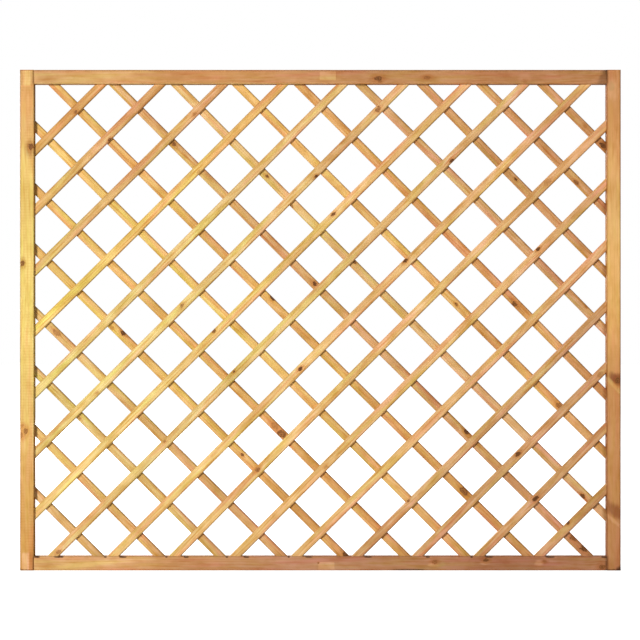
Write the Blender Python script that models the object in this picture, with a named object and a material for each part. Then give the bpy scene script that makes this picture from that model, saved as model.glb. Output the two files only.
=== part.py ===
"""Diagonal trellis panel: a grooved softwood frame that holds two crossed layers of mitred laths.

Metres, +Z up. The panel stands on its lower edge, with the origin in the middle of that edge.
+X runs along its width, and its front faces -Y.
"""

import math

import bmesh
import bpy
from mathutils import Matrix, Vector

# Overall size
PANEL_WIDTH = 1.800
PANEL_HEIGHT = 1.500

# Frame timbers
STILE_WIDTH = 0.042
RAIL_WIDTH = 0.042
FRAME_DEPTH = 0.042
FRAME_ARRIS = 0.003
FRAME_ARRIS_STEPS = 3

# Laths
LATH_WIDTH = 0.026
LATH_THICKNESS = 0.009
LATH_ARRIS = 0.0012
LATH_ARRIS_STEPS = 2
LATH_ANGLE = math.radians(45)
FRONT_MESH_GAP = 0.1027
REAR_MESH_GAP = 0.1037
SHORTEST_LATH = 0.150

# Joints between the timbers
GROOVE_DEPTH = 0.012
SEAT_GAP = 0.0003

# Corner screws
SCREWS_PER_CORNER = 2
SCREW_LENGTH = 0.080
SCREW_SHANK_RADIUS = 0.0025
SCREW_HEAD_RADIUS = 0.005
SCREW_HEAD_RIM = 0.0004
SCREW_HEAD_SINK = 0.0005
SCREW_POINT_LENGTH = 0.007
SCREW_POINT_RADIUS = 0.0004
SCREW_SIDES = 12
RECESS_LOBE_RADIUS = 0.0022
RECESS_WAIST_RADIUS = 0.0016
RECESS_DEPTH = 0.0018

# Worked out from the sizes above
FRONT_LATH_PITCH = FRONT_MESH_GAP + LATH_WIDTH
REAR_LATH_PITCH = REAR_MESH_GAP + LATH_WIDTH
GROOVE_WIDTH = 2 * LATH_THICKNESS + 3 * SEAT_GAP
TENON_THICKNESS = GROOVE_WIDTH - 2 * SEAT_GAP
TENON_LENGTH = GROOVE_DEPTH - SEAT_GAP
TENON_WIDTH = RAIL_WIDTH - GROOVE_DEPTH
OPENING_WIDTH = PANEL_WIDTH - 2 * STILE_WIDTH
OPENING_HEIGHT = PANEL_HEIGHT - 2 * RAIL_WIDTH
SHOULDER_REACH = OPENING_WIDTH / 2 - SEAT_GAP
TENON_REACH = OPENING_WIDTH / 2 + TENON_LENGTH
SCREW_CONE_LENGTH = SCREW_HEAD_RADIUS - SCREW_SHANK_RADIUS
PANEL_CENTRE = Vector((0, 0, PANEL_HEIGHT / 2))

# How far a cutter runs past what it cuts, and where shading breaks at an edge
CUT_MARGIN = 0.005
MERGE_DISTANCE = 1e-6
SHARP_ANGLE = math.radians(35)


def srgb(red, green, blue):
    """A colour given as 0 to 255 display values, as the linear values that a shader takes."""
    shares = (channel / 255 for channel in (red, green, blue))
    return tuple(share / 12.92 if share <= 0.04045 else ((share + 0.055) / 1.055) ** 2.4 for share in shares)


# Finishes. A pair holds the tones at the panel's left and right ends
FRONT_LATH_TONES = srgb(231, 195, 122), srgb(210, 163, 108)
REAR_LATH_TONES = srgb(226, 182, 111), srgb(204, 153, 99)
STILE_TONES = srgb(235, 196, 117), srgb(212, 158, 98)
TOP_RAIL_TONE = srgb(201, 145, 92)
BOTTOM_RAIL_TONE = srgb(190, 138, 94)
SCREW_TONE = srgb(205, 186, 130)
WOOD_ROUGHNESS = 0.65
SCREW_ROUGHNESS = 0.35


def tone_at(tones, x):
    """The tone between the left and the right one at the place x."""
    left, right = (Vector(tone) for tone in tones)
    return tuple(left.lerp(right, x / PANEL_WIDTH + 0.5))


def finish(name, tone, roughness, metallic):
    """A Principled material of one colour."""
    material = bpy.data.materials.new(name)
    material.use_nodes = True
    shader = material.node_tree.nodes["Principled BSDF"]
    shader.inputs["Base Color"].default_value = (*tone, 1)
    shader.inputs["Roughness"].default_value = roughness
    shader.inputs["Metallic"].default_value = metallic
    material.diffuse_color = (*tone, 1)
    return material


def wood(node, tone):
    return finish(node + "_wood", tone, WOOD_ROUGHNESS, 0)


def clear_scene():
    for old in list(bpy.data.objects):
        bpy.data.objects.remove(old, do_unlink=True)


def finished_mesh(name, bm, material=None):
    """Turns a bmesh into a mesh with its faces out, shaded smooth up to its sharp edges."""
    bmesh.ops.recalc_face_normals(bm, faces=bm.faces)
    mesh = bpy.data.meshes.new(name)
    bm.to_mesh(mesh)
    bm.free()
    mesh.shade_smooth()
    mesh.set_sharp_from_angle(angle=SHARP_ANGLE)
    if material:
        mesh.materials.append(material)
    return mesh


def place(name, mesh, panel, location, turn):
    """Puts a mesh on the panel as an object of its own."""
    piece = bpy.data.objects.new(name, mesh)
    bpy.context.scene.collection.objects.link(piece)
    piece.location = location
    piece.rotation_euler = turn.to_euler()
    piece.parent = panel
    return piece


def cut(pieces, name, bm, panel, location, turn):
    """Cuts a solid out of each of the pieces."""
    cutter = place(name, finished_mesh(name, bm), panel, location, turn)
    cutter.hide_render = True
    cutter.display_type = "WIRE"
    for piece in pieces:
        boolean = piece.modifiers.new(name, "BOOLEAN")
        boolean.operation = "DIFFERENCE"
        boolean.solver = "EXACT"
        boolean.object = cutter


def quarter_round(x, y, first_turn):
    """The points of one rounded arris about its centre."""
    turns = [first_turn + math.pi / 2 * step / FRAME_ARRIS_STEPS for step in range(FRAME_ARRIS_STEPS + 1)]
    return [(x + FRAME_ARRIS * math.cos(turn), y + FRAME_ARRIS * math.sin(turn)) for turn in turns]


def grooved_section(width):
    """A frame timber's outline: x from its outer to its inner edge, y through its depth."""
    outer = FRAME_ARRIS
    inner = width - FRAME_ARRIS
    side = FRAME_DEPTH / 2 - FRAME_ARRIS
    groove_bottom = width - GROOVE_DEPTH
    lip = GROOVE_WIDTH / 2
    groove = [(width, -lip), (groove_bottom, -lip), (groove_bottom, lip), (width, lip)]
    front = quarter_round(outer, -side, math.pi) + quarter_round(inner, -side, -math.pi / 2)
    back = quarter_round(inner, side, 0) + quarter_round(outer, side, math.pi / 2)
    return front + groove + back


def grooved_timber(width, low, high):
    """The grooved section drawn out along z."""
    bm = bmesh.new()
    end = bm.faces.new([bm.verts.new((x, y, low)) for x, y in grooved_section(width)])
    drawn = bmesh.ops.extrude_face_region(bm, geom=[end])["geom"]
    tip = [item for item in drawn if isinstance(item, bmesh.types.BMVert)]
    bmesh.ops.translate(bm, verts=tip, vec=(0, 0, high - low))
    return bm


def add_block(bm, low, high):
    """Adds a box between two corners, and returns its edges."""
    size = high - low
    made = bmesh.ops.create_cube(bm, size=1)["verts"]
    bmesh.ops.scale(bm, verts=made, vec=size)
    bmesh.ops.translate(bm, verts=made, vec=low + size / 2)
    return list({edge for vert in made for edge in vert.link_edges})


def add_stile(panel, name, side):
    """A full height upright, grooved in its inner edge. side is -1 at the left and 1 at the right."""
    edge = side * PANEL_WIDTH / 2
    mesh = finished_mesh(
        name,
        grooved_timber(STILE_WIDTH, 0, PANEL_HEIGHT),
        wood(name, tone_at(STILE_TONES, edge)),
    )
    turn = Matrix.Rotation(math.pi if side > 0 else 0, 3, "Z")
    return place(name, mesh, panel, (edge, 0, 0), turn)


def tenon_cheeks(end):
    """The two waste blocks beside the stub tenon at one end of a rail."""
    bm = bmesh.new()
    along = sorted((end * SHOULDER_REACH, end * (TENON_REACH + CUT_MARGIN)))
    for face in (-1, 1):
        through = sorted((face * TENON_THICKNESS / 2, face * (FRAME_DEPTH / 2 + CUT_MARGIN)))
        low = Vector((-CUT_MARGIN, through[0], along[0]))
        high = Vector((RAIL_WIDTH + CUT_MARGIN, through[1], along[1]))
        add_block(bm, low, high)
    return bm


def add_rail(panel, name, level, tone):
    """A crosswise timber with stub tenons that fill the stiles' grooves. level is -1 or 1, for low or high."""
    location = (0, 0, (1 + level) / 2 * PANEL_HEIGHT)
    turn = Matrix.Rotation(level * math.pi / 2, 3, "Y")
    mesh = finished_mesh(name, grooved_timber(RAIL_WIDTH, -TENON_REACH, TENON_REACH), wood(name, tone))
    rail = place(name, mesh, panel, location, turn)
    for end, word in ((-1, "first"), (1, "second")):
        cut([rail], f"{name}_{word}_cheeks", tenon_cheeks(end), panel, location, turn)
    return rail


def groove_bottoms():
    """The four planes that the laths' ends stop at, each as a point and an outward normal."""
    reach = OPENING_WIDTH / 2 + TENON_LENGTH
    rise = OPENING_HEIGHT / 2 + TENON_LENGTH
    for normal, distance in ((Vector((1, 0, 0)), reach), (Vector((0, 0, 1)), rise)):
        for way in (-1, 1):
            yield PANEL_CENTRE + way * distance * normal, way * normal


def saw_off(bm, point, normal):
    """Removes what lies beyond a plane, and closes the sawn end."""
    cut_edges = [
        item
        for item in bmesh.ops.bisect_plane(
            bm,
            geom=bm.verts[:] + bm.edges[:] + bm.faces[:],
            plane_co=point,
            plane_no=normal,
            clear_outer=True,
        )["geom_cut"]
        if isinstance(item, bmesh.types.BMEdge)
    ]
    if cut_edges:
        bmesh.ops.contextual_create(bm, geom=cut_edges)


def add_lath(panel, name, layer, lean, offset, tones):
    """A lath with eased edges whose mitred ends sit in the frame's groove.

    layer is -1 in front and 1 behind, lean is the sign of its slope, and offset is its distance
    from the panel's centre, square to its length.
    """
    turn = Matrix.Rotation(-lean * LATH_ANGLE, 3, "Y")
    across = turn.col[2]
    depth = layer * (LATH_THICKNESS + SEAT_GAP) / 2
    centre = PANEL_CENTRE + offset * across + Vector((0, depth, 0))
    longest = PANEL_WIDTH + PANEL_HEIGHT
    half = Vector((longest, LATH_THICKNESS, LATH_WIDTH)) / 2
    bm = bmesh.new()
    edges = add_block(bm, -half, half)
    arrises = [edge for edge in edges if edge.calc_length() > longest / 2]
    bmesh.ops.bevel(
        bm,
        geom=arrises,
        offset=LATH_ARRIS,
        segments=LATH_ARRIS_STEPS,
        profile=0.5,
        affect="EDGES",
    )
    for point, normal in groove_bottoms():
        saw_off(bm, turn.transposed() @ (point - centre), turn.transposed() @ normal)
    mesh = finished_mesh(name, bm, wood(name, tone_at(tones, centre.x)))
    return place(name, mesh, panel, centre, turn)


def laths_each_side(pitch):
    """How many laths fit between the panel's centre and its corner in a layer with this pitch."""
    corner = OPENING_WIDTH / 2 * math.sin(LATH_ANGLE) + OPENING_HEIGHT / 2 * math.cos(LATH_ANGLE)
    spare = SHORTEST_LATH * math.sin(LATH_ANGLE) * math.cos(LATH_ANGLE)
    return math.floor((corner - spare) / pitch + 0.5)


def add_lath_row(panel, word, layer, lean, pitch, tones):
    """One layer of the lattice, its laths spread evenly to both sides of the panel's centre."""
    count = laths_each_side(pitch)
    for place_in_row in range(2 * count):
        offset = (place_in_row - count + 0.5) * pitch
        add_lath(panel, f"{word}_lath_{place_in_row + 1:02d}", layer, lean, offset, tones)


def add_lattice(panel):
    """Both layers: the front laths rise to the right, and the rear ones to the left."""
    add_lath_row(panel, "front", -1, 1, FRONT_LATH_PITCH, FRONT_LATH_TONES)
    add_lath_row(panel, "rear", 1, -1, REAR_LATH_PITCH, REAR_LATH_TONES)


def turned(profile):
    """A round solid about z, from (radius, z) points that start and end on the axis."""
    bm = bmesh.new()
    points = [bm.verts.new((radius, 0, z)) for radius, z in profile]
    edges = [bm.edges.new(pair) for pair in zip(points, points[1:])]
    bmesh.ops.spin(
        bm,
        geom=points + edges,
        axis=(0, 0, 1),
        angle=2 * math.pi,
        steps=SCREW_SIDES,
        use_merge=True,
    )
    bmesh.ops.remove_doubles(bm, verts=bm.verts, dist=MERGE_DISTANCE)
    return bm


def sink_recess(bm):
    """Sinks a six lobed socket into the flat of a screw's head, which lies at z = 0."""
    flat = [face for face in bm.faces if all(abs(vert.co.z) < MERGE_DISTANCE for vert in face.verts)]
    mouth = bmesh.ops.dissolve_faces(bm, faces=flat)["region"][0]
    bmesh.ops.inset_region(bm, faces=[mouth], thickness=SCREW_HEAD_RADIUS - RECESS_LOBE_RADIUS)
    for corner, vert in enumerate(mouth.verts):
        vert.co = vert.co.normalized() * (RECESS_WAIST_RADIUS if corner % 2 else RECESS_LOBE_RADIUS)
    floor = bmesh.ops.extrude_discrete_faces(bm, faces=[mouth])["faces"][0]
    bmesh.ops.translate(bm, verts=floor.verts, vec=(0, 0, RECESS_DEPTH))


def screw_mesh():
    """A countersunk screw with its head's flat at z = 0 and its point along +z."""
    bm = turned(
        [
            (0, 0),
            (SCREW_HEAD_RADIUS, 0),
            (SCREW_HEAD_RADIUS, SCREW_HEAD_RIM),
            (SCREW_SHANK_RADIUS, SCREW_HEAD_RIM + SCREW_CONE_LENGTH),
            (SCREW_SHANK_RADIUS, SCREW_LENGTH - SCREW_POINT_LENGTH),
            (SCREW_POINT_RADIUS, SCREW_LENGTH),
            (0, SCREW_LENGTH),
        ]
    )
    bmesh.ops.recalc_face_normals(bm, faces=bm.faces)
    sink_recess(bm)
    return finished_mesh("corner_screw", bm, finish("screw_steel", SCREW_TONE, SCREW_ROUGHNESS, 1))


def screw_bore():
    """The countersunk hole that a screw sits in, from outside the stile to just past its point."""
    head = SCREW_HEAD_RADIUS + SEAT_GAP
    shank = SCREW_SHANK_RADIUS + SEAT_GAP
    mouth = -SCREW_HEAD_SINK - CUT_MARGIN
    bottom = SCREW_LENGTH + SEAT_GAP
    return turned(
        [
            (0, mouth),
            (head, mouth),
            (head, SCREW_HEAD_RIM + SEAT_GAP),
            (shank, SCREW_HEAD_RIM + SEAT_GAP + SCREW_CONE_LENGTH),
            (shank, bottom),
            (0, bottom),
        ]
    )


def add_corner_screws(panel, stiles, rails):
    """Screws through each stile's outer edge, spread over the tenon and running on into the rail."""
    mesh = screw_mesh()
    for side, side_word, stile in ((-1, "left", stiles[0]), (1, "right", stiles[1])):
        for level, level_word, rail in ((-1, "bottom", rails[0]), (1, "top", rails[1])):
            for number in range(SCREWS_PER_CORNER):
                from_end = TENON_WIDTH * (number + 0.5) / SCREWS_PER_CORNER
                x = side * (PANEL_WIDTH / 2 - SCREW_HEAD_SINK)
                z = PANEL_CENTRE.z + level * (PANEL_HEIGHT / 2 - from_end)
                turn = Matrix.Rotation(-side * math.pi / 2, 3, "Y")
                name = f"corner_screw_{level_word}_{side_word}_{number + 1}"
                cut([stile, rail], name + "_bore", screw_bore(), panel, (x, 0, z), turn)
                place(name, mesh, panel, (x, 0, z), turn)


def build():
    clear_scene()
    panel = bpy.data.objects.new("panel", None)
    bpy.context.scene.collection.objects.link(panel)
    stiles = [add_stile(panel, "left_stile", -1), add_stile(panel, "right_stile", 1)]
    rails = [
        add_rail(panel, "bottom_rail", -1, BOTTOM_RAIL_TONE),
        add_rail(panel, "top_rail", 1, TOP_RAIL_TONE),
    ]
    add_lattice(panel)
    add_corner_screws(panel, stiles, rails)
    bpy.context.view_layer.update()


build()
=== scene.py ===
import math
import random
from collections import namedtuple

import bmesh
import bpy
from mathutils import Matrix, Vector, noise


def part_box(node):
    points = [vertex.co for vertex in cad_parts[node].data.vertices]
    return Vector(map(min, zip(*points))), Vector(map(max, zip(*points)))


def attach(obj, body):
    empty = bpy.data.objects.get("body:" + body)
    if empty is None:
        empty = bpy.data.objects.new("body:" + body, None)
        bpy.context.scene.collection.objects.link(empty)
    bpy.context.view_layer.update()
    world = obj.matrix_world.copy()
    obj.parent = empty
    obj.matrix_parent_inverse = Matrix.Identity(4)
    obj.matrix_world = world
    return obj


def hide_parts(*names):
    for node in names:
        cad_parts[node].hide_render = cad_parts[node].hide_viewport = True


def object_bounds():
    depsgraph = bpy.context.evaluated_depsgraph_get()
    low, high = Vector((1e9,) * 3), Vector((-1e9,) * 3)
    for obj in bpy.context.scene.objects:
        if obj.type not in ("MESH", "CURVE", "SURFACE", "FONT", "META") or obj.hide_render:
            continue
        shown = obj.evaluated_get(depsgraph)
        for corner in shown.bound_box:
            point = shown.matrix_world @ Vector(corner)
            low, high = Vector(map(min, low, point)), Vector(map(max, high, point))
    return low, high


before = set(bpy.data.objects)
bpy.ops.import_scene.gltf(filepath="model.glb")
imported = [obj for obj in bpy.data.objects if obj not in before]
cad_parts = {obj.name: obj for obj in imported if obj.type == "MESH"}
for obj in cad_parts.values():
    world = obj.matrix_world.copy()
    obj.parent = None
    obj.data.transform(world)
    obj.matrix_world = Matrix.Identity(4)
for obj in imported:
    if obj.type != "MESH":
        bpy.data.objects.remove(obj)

# Looks of a diagonal trellis panel: oiled pine laths in two crossed layers, in a grooved pine frame.
# Metres, +Z up. The panel stands on its lower edge, +X runs along its width, and its front faces -Y

cad_low, cad_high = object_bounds()
MIDDLE_HEIGHT = (cad_low.z + cad_high.z) / 2

# Where the camera stands: how far in front of the panel's face, beside its middle and above its lower edge
CAMERA_DISTANCE = 6.65
CAMERA_SIDE = -0.0011
CAMERA_HEIGHT = 0.7505
CAMERA_LENS_MM, CAMERA_SENSOR_MM = 124.9, 36
CAMERA_CLIP = 200

# Laths. LATH_SIZES holds the sizes that all of them share, by the names of their tree's inputs
LATH_ANGLE = math.radians(45)
LATH_SIZES = {
    "Angle": LATH_ANGLE,
    "Rounding": 0.0034,
    "Rounding steps": 4,
    "Flat margin": 0.0005,
    "Wander": 0.0005,
    "Wander length": 0.45,
    "Unevenness": 0.0003,
    "Unevenness length": 0.035,
}
LATH_RING_SPACING, LATH_FEWEST_RINGS = 0.012, 8
# Each lath gets a seed from this range, which moves its grain along by a stride for each whole seed
LATH_SEED, LATH_SEEDS, LATH_SEED_STRIDE = 41, (3, 20), 3.7
# How far aside and how deep a lath's pith lies, and how wide its year rings are
PITH_ASIDE, PITH_DEPTH, RING_WIDTH = (-0.03, 0.03), (0.015, 0.06), (0.0022, 0.0042)
# How far from its end a lath starts to darken with painted shade where it meets the stile, and where it is
# darkest, and how near the stile that end is
LATH_END_UNSHADED, LATH_END_SHADED, LATH_END_MARGIN = 0.034, 0.020, 0.001
LATH_KNOT_STRETCH = 1.5

# Frame timbers
TIMBER_HALF = 0.021
TIMBER_SLICE = 0.012
TIMBER_FLAT_EDGE = 0.0172
TIMBER_UNEVENNESS = 0.0003
TIMBER_UNEVENNESS_LENGTH = 0.06
TIMBER_SURFACE_BAND = 0.004
END_MARGIN = 0.0002
# How squarely a face has to look along the timber to be one of its sawn ends
FACES_ALONG = 0.9

SMOOTH_ANGLE = math.radians(35)
MERGE_DISTANCE = 1e-6

# Staples at the crossings, driven from the back
STAPLE_CROWN = 0.0100
STAPLE_WIRE_WIDTH = 0.0012
STAPLE_WIRE_THICKNESS = 0.0009
STAPLE_PROUD = 0.0004
STAPLE_LEG = 0.0140
STAPLE_BEND = 0.0012
STAPLE_BEND_STEPS = 3
STAPLE_TURN_SPREAD = math.radians(14)
STAPLE_SHIFT = 0.0018
STAPLE_EDGE_ROOM = 0.012
CROSSING_ROUNDS = 6
FASTENING_SEED = 7

# Corner screws
SCREW_SIDES = 36
SCREW_RIM = 0.0003
SCREW_CONE = 0.0029
SCREW_ROOT_RADIUS = 0.0018
SCREW_CREST_RADIUS = 0.00245
SCREW_THREAD_START = 0.030
SCREW_THREAD_PITCH = 0.0028
SCREW_THREAD_STEPS = 4
SCREW_POINT = 0.007
SCREW_LOBES = 6
SCREW_LOBE_RADIUS = 0.0023
SCREW_WAIST_RADIUS = 0.0016
SCREW_RECESS_DEPTH = 0.0018
SCREW_RECESS_TAPER, SCREW_RECESS_POINT = 0.85, 1.15

# Lamps and backdrop
KEY_PLACE = Vector((-4.6, -8.6, 3.0))
KEY_POWER = 830
BACK_LAMP_PLACE = Vector((-4.8, 8.6, 1.9))
BACK_LAMP_POWER = 560
TOP_LAMP_PLACE = Vector((-0.2, 0.0, 5.4))
TOP_LAMP_POWER = 80
LAMP_SIZE = 1.5
FILL_STRENGTH = 0.05
FLOOR_GLOW = 0.93
FLOOR_TONE = 0.86
FLOOR_NEAR, FLOOR_FAR = 1.2, 4.5
FLOOR_SIZE = 60
FLOOR_DROP = 0.0004


def srgb(red, green, blue):
    """A colour given as 0 to 255 display values, as the linear values that a shader takes."""
    shares = (channel / 255 for channel in (red, green, blue))
    return tuple(
        share / 12.92 if share <= 0.04045 else ((share + 0.055) / 1.055) ** 2.4
        for share in shares
    )


# The stock that each lath is sawn from, numbered as the laths are
STOCK_TONES = {
    "straw": srgb(232, 191, 119),
    "honey": srgb(225, 187, 118),
    "gold": srgb(228, 184, 105),
    "dun": srgb(216, 175, 110),
    "peach": srgb(222, 172, 110),
    "orange": srgb(220, 170, 98),
    "amber": srgb(213, 166, 105),
    "olive": srgb(211, 166, 98),
    "russet": srgb(209, 156, 90),
}
FRONT_STOCK = (
    "dun dun dun dun straw straw straw straw honey straw honey honey gold amber amber russet"
).split()
REAR_STOCK = (
    "amber peach dun amber orange orange gold orange amber honey gold orange dun olive olive olive"
).split()

# The laths' tone is lighter and yellower towards a spot beyond the left end, and darker and redder far from
# it
CAST_SPOT = (-1.2, 0.7)
CAST_HEIGHT_WEIGHT = 1.3
CAST_NEAR, CAST_FAR = 0.2, 2.1
NEAR_SPOT_CAST = (1.06, 1.28, 1.19)
MIDDLE_CAST = (0.98, 0.97, 1.02)
FAR_SPOT_CAST = (0.94, 0.81, 1.01)

# What breaks the wood's tone up, as shares of it
ROSE_TINT = (1.02, 0.86, 0.98)
OLIVE_TINT = (0.97, 1.06, 0.82)
STREAK_TINT = (0.84, 0.68, 0.46)
PALE_TINT = (1.06, 1.16, 1.34)
LATE_WOOD_TINT = (0.88, 0.74, 0.56)
FIBRE_TINT = (0.92, 0.88, 0.82)
EDGE_STAIN_AND_SHADE_TINT = (0.50, 0.40, 0.28)
SAWN_END_TINT = (0.70, 0.60, 0.50)
PLANER_TINT = (0.95, 0.92, 0.84)
KNOT_TONES = [srgb(182, 120, 66), srgb(144, 90, 44), srgb(76, 44, 18)]
KNOT_HALO_TINT = (0.84, 0.60, 0.36)
LIGHTNESS_ALONG = [(0.90, 0.88, 0.82), (1.03, 1.04, 1.05), (1.15, 1.19, 1.30)]
LIGHTNESS_IN_BLOTCHES = [(0.90, 0.85, 0.70), (1.01, 1.02, 1.04), (1.09, 1.12, 1.28)]

# How far the darkening of a timber's long edges reaches, oil and dirt together with painted shade, and how
# dark it is at the edges on the low and high sides and all over the faces on those sides
Edges = namedtuple("Edges", "reach low_side high_side low_face high_face", defaults=(0.0, 0.0))

# Half a lath's width and thickness
LATH_SECTION = (0.013, 0.0045)
# How deep the darkening of a whole side goes, and how wide the change from the low to the high side is
FACE_SKIN = (0.0012, 0.0032)
SIDE_CHANGE = 0.002
# How many swells the streaks have to a metre along the grain and across it, and how detailed they are
FIBRES = {
    "Fine": (45.0, 1500.0, 3.0),
    "Streak": (9.0, 190.0, 2.0),
    "Patch": (6.0, 60.0, 2.0),
    "Blotch": (24.0, 48.0, 3.0),
    "Length": (4.0, 12.0, 1.0),
}
# The same for the year rings, with how far they swing, and for the ragged edges of stains and patches
RING_SWELLS, RING_SWING = (1.6, 7.0), 0.04
ARRIS_SWELLS, PATCH_SWELLS = (40.0, 160.0), (30.0, 110.0)
# How a knot's outline is warped, skewed and ragged, in shares of its radius, and how its tails are shaped
KNOT_WARP_SWELLS, KNOT_WARP = (0.55, 0.7), 2.2
KNOT_SKEW_SWELLS, KNOT_SKEW = (0.6, -0.8), 1.6
KNOT_RIM_SWELLS, KNOT_RIM = (1.7, 1.3), 1.3
KNOT_TAIL_LENGTH, KNOT_TAIL_WIDTH = 4.5, 0.6
# How far apart the planer left its marks, and how strong the wood's bump and sheen are
PLANER_SPACING = 0.0085
GRAIN_BUMP, GRAIN_BUMP_DEPTH = 0.6, 0.0003
GRAIN_SPECULAR = 0.14

# Tones that parts of the frame timbers take
STRAW = srgb(233, 198, 122)
PEACH = srgb(232, 180, 132)
TAN = srgb(214, 170, 110)
AMBER = srgb(212, 152, 88)
RUSSET = srgb(172, 108, 66)
ROSE = srgb(205, 146, 108)
OLIVE = srgb(172, 140, 82)
SADDLE = srgb(176, 118, 68)
BROWN = srgb(146, 88, 54)
OLD_JOINT = srgb(128, 78, 40)
UMBER = srgb(84, 54, 32)

STEEL_TONE = srgb(178, 176, 170)
STEEL_DULL_TONE = srgb(126, 122, 114)
ZINC_TONE = srgb(208, 188, 130)
ZINC_DULL_TONE = srgb(176, 150, 96)
# How many dull spots a metre of the wire and of the screws has
STEEL_SPOTS, ZINC_SPOTS = 420.0, 260.0
SCRATCH_BUMP, SCRATCH_DEPTH = 0.3, 0.0001

# Names of the values that each wooden piece carries for its material
GRAIN_PLACE = "grain_place"
PITH = "pith"
STOCK_TONE = "stock_tone"
CUT_END = "cut_end"
PAINTED_END_SHADE = "end_stain"
KNOT_NAMES = ("knot_1", "knot_2", "knot_3", "knot_4", "knot_5")
NO_KNOT = (-50.0, 0.0, 0.0001, 0.0)
DRIVE = "drive_direction"

# A lath's knots: its number, the place along it from its middle, the place across it, half the knot's width
# and how dark it is
LathKnot = namedtuple("LathKnot", "lath along across radius darkness")
FRONT_KNOTS = [LathKnot(*knot) for knot in (
    (1, 0.096, 0.010, 0.0042, 1.0), (2, 0.078, 0.002, 0.0062, 1.0), (3, 0.135, 0.004, 0.0056, 1.0),
    (3, 0.480, -0.002, 0.0075, 0.45), (4, -0.197, 0.010, 0.0035, 0.7), (6, 0.613, 0.007, 0.0045, 1.0),
    (6, -0.300, -0.003, 0.0040, 0.4), (7, -0.451, 0.004, 0.0060, 0.65), (7, 0.776, 0.001, 0.0085, 0.4),
    (8, -0.145, 0.000, 0.0052, 1.0), (8, 0.306, 0.007, 0.0050, 1.0), (9, -1.046, -0.002, 0.0050, 0.55),
    (9, -0.588, 0.006, 0.0026, 0.6), (9, -0.292, 0.007, 0.0028, 0.9), (9, 0.617, -0.008, 0.0044, 1.0),
    (10, -0.249, 0.009, 0.0048, 0.8), (10, 0.253, 0.004, 0.0048, 0.9), (11, -0.628, -0.004, 0.0036, 0.4),
    (11, -0.262, 0.003, 0.0052, 0.60), (11, 0.296, -0.008, 0.0042, 1.0), (11, 0.569, 0.002, 0.0066, 0.65),
    (13, 0.056, -0.006, 0.0036, 0.4), (14, 0.169, -0.003, 0.0048, 0.5), (15, -0.063, -0.009, 0.0042, 0.8),
    (16, -0.077, -0.004, 0.0042, 0.7),
)]
REAR_KNOTS = [LathKnot(*knot) for knot in (
    (3, -0.304, -0.006, 0.0040, 0.55), (4, -0.534, 0.001, 0.0078, 0.5), (5, -0.390, 0.008, 0.0062, 1.0),
    (5, -0.427, -0.004, 0.0050, 0.45), (5, 0.120, 0.001, 0.0038, 0.85), (5, 0.553, 0.007, 0.0066, 0.9),
    (6, 0.128, 0.001, 0.0090, 0.45), (6, 0.160, -0.003, 0.0095, 0.72), (8, -0.148, 0.011, 0.0058, 1.0),
    (8, 0.668, 0.003, 0.0100, 0.75), (9, -0.685, 0.001, 0.0060, 0.8), (9, -0.090, 0.002, 0.0056, 1.0),
    (9, 0.549, 0.008, 0.0066, 1.0), (9, 1.000, 0.008, 0.0080, 0.75), (9, 1.045, 0.007, 0.0085, 0.90),
    (10, -0.419, 0.001, 0.0042, 0.85), (10, -0.302, -0.010, 0.0040, 0.6), (10, -0.050, 0.006, 0.0034, 0.8),
    (10, 0.931, -0.008, 0.0054, 0.9), (11, 0.254, -0.001, 0.0040, 0.75), (11, 0.690, 0.002, 0.0075, 0.6),
    (12, 0.378, -0.006, 0.0070, 0.85), (13, 0.536, 0.008, 0.0030, 0.45), (14, 0.116, 0.002, 0.0036, 1.0),
    (15, 0.250, -0.006, 0.0062, 0.7), (16, 0.150, 0.002, 0.0040, 0.4), (16, 0.229, -0.001, 0.0072, 0.95),
)]

# How far each lath, from the first to the last, stands above its straight line at its left end, middle and
# right end, in millimetres
Bend = namedtuple("Bend", "left middle right")
FRONT_BENDS = [Bend(*(mm / 1000 for mm in bend)) for bend in (
    (0, 0, 0), (-1, 0, 2), (1, 1, 1), (0, -1, 2), (0, -1, 3), (1, 3, 4), (1, 7, -1), (3, 3, 1),
    (2, 3, 3), (1, 1, -2), (3, 0, 2), (0, 1, 3), (4, 1, 1), (3, 0, -1), (3, 3, 3), (0, 0, 0),
)]
REAR_BENDS = [Bend(*(mm / 1000 for mm in bend)) for bend in (
    (0, 0, 0), (3, 1, 0), (-1, -1, -1), (-5, -1, 0), (-1, 1, 2), (-3, 1, 3), (0, 1, 1), (-1, 0, 6),
    (-2, -1, 3), (0, -5, -3), (0, -1, 0), (2, 0, -6), (2, 4, 0), (4, -1, -5), (0, -1, -2), (0, 0, 0),
)]

# Each layer of laths. Its lean is 1 where they rise to the right, and -1 where they rise to the left
Layer = namedtuple("Layer", "lean edges end_stain stock knots bends")
LAYERS = {
    # The edges that face away from the key lamp are darker, the front laths' lower ones and the rear laths'
    # upper ones: painted shade over their stain
    "front": Layer(1, Edges(0.0060, 0.75, 0.30), 0.0, FRONT_STOCK, FRONT_KNOTS, FRONT_BENDS),
    # The rear laths take painted shade at their right ends, where the right stile shades them
    "rear": Layer(-1, Edges(0.0060, 0.25, 0.75), 0.9, REAR_STOCK, REAR_KNOTS, REAR_BENDS),
}

# How deep a patch goes from the front face: a skin, the lip in front of the groove, or the whole timber.
# It fades out below that
SKIN, LIP, ALL_THROUGH = 0.001, 0.0105, 1.0
PATCH_DEPTH_FADE = 0.0015

# A frame timber's knots and patches, by the place along it (X on a rail, Z on a stile) and across it
Knot = namedtuple("Knot", "along across radius darkness stretch")
Patch = namedtuple(
    "Patch",
    "along across half_length half_width tone share slant squareness softness depth",
    defaults=(0.0, 0.0, 0.9, ALL_THROUGH),
)
# The axes that the rails and the stiles run along
CROSSWISE, UPRIGHT = 0, 2
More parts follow.
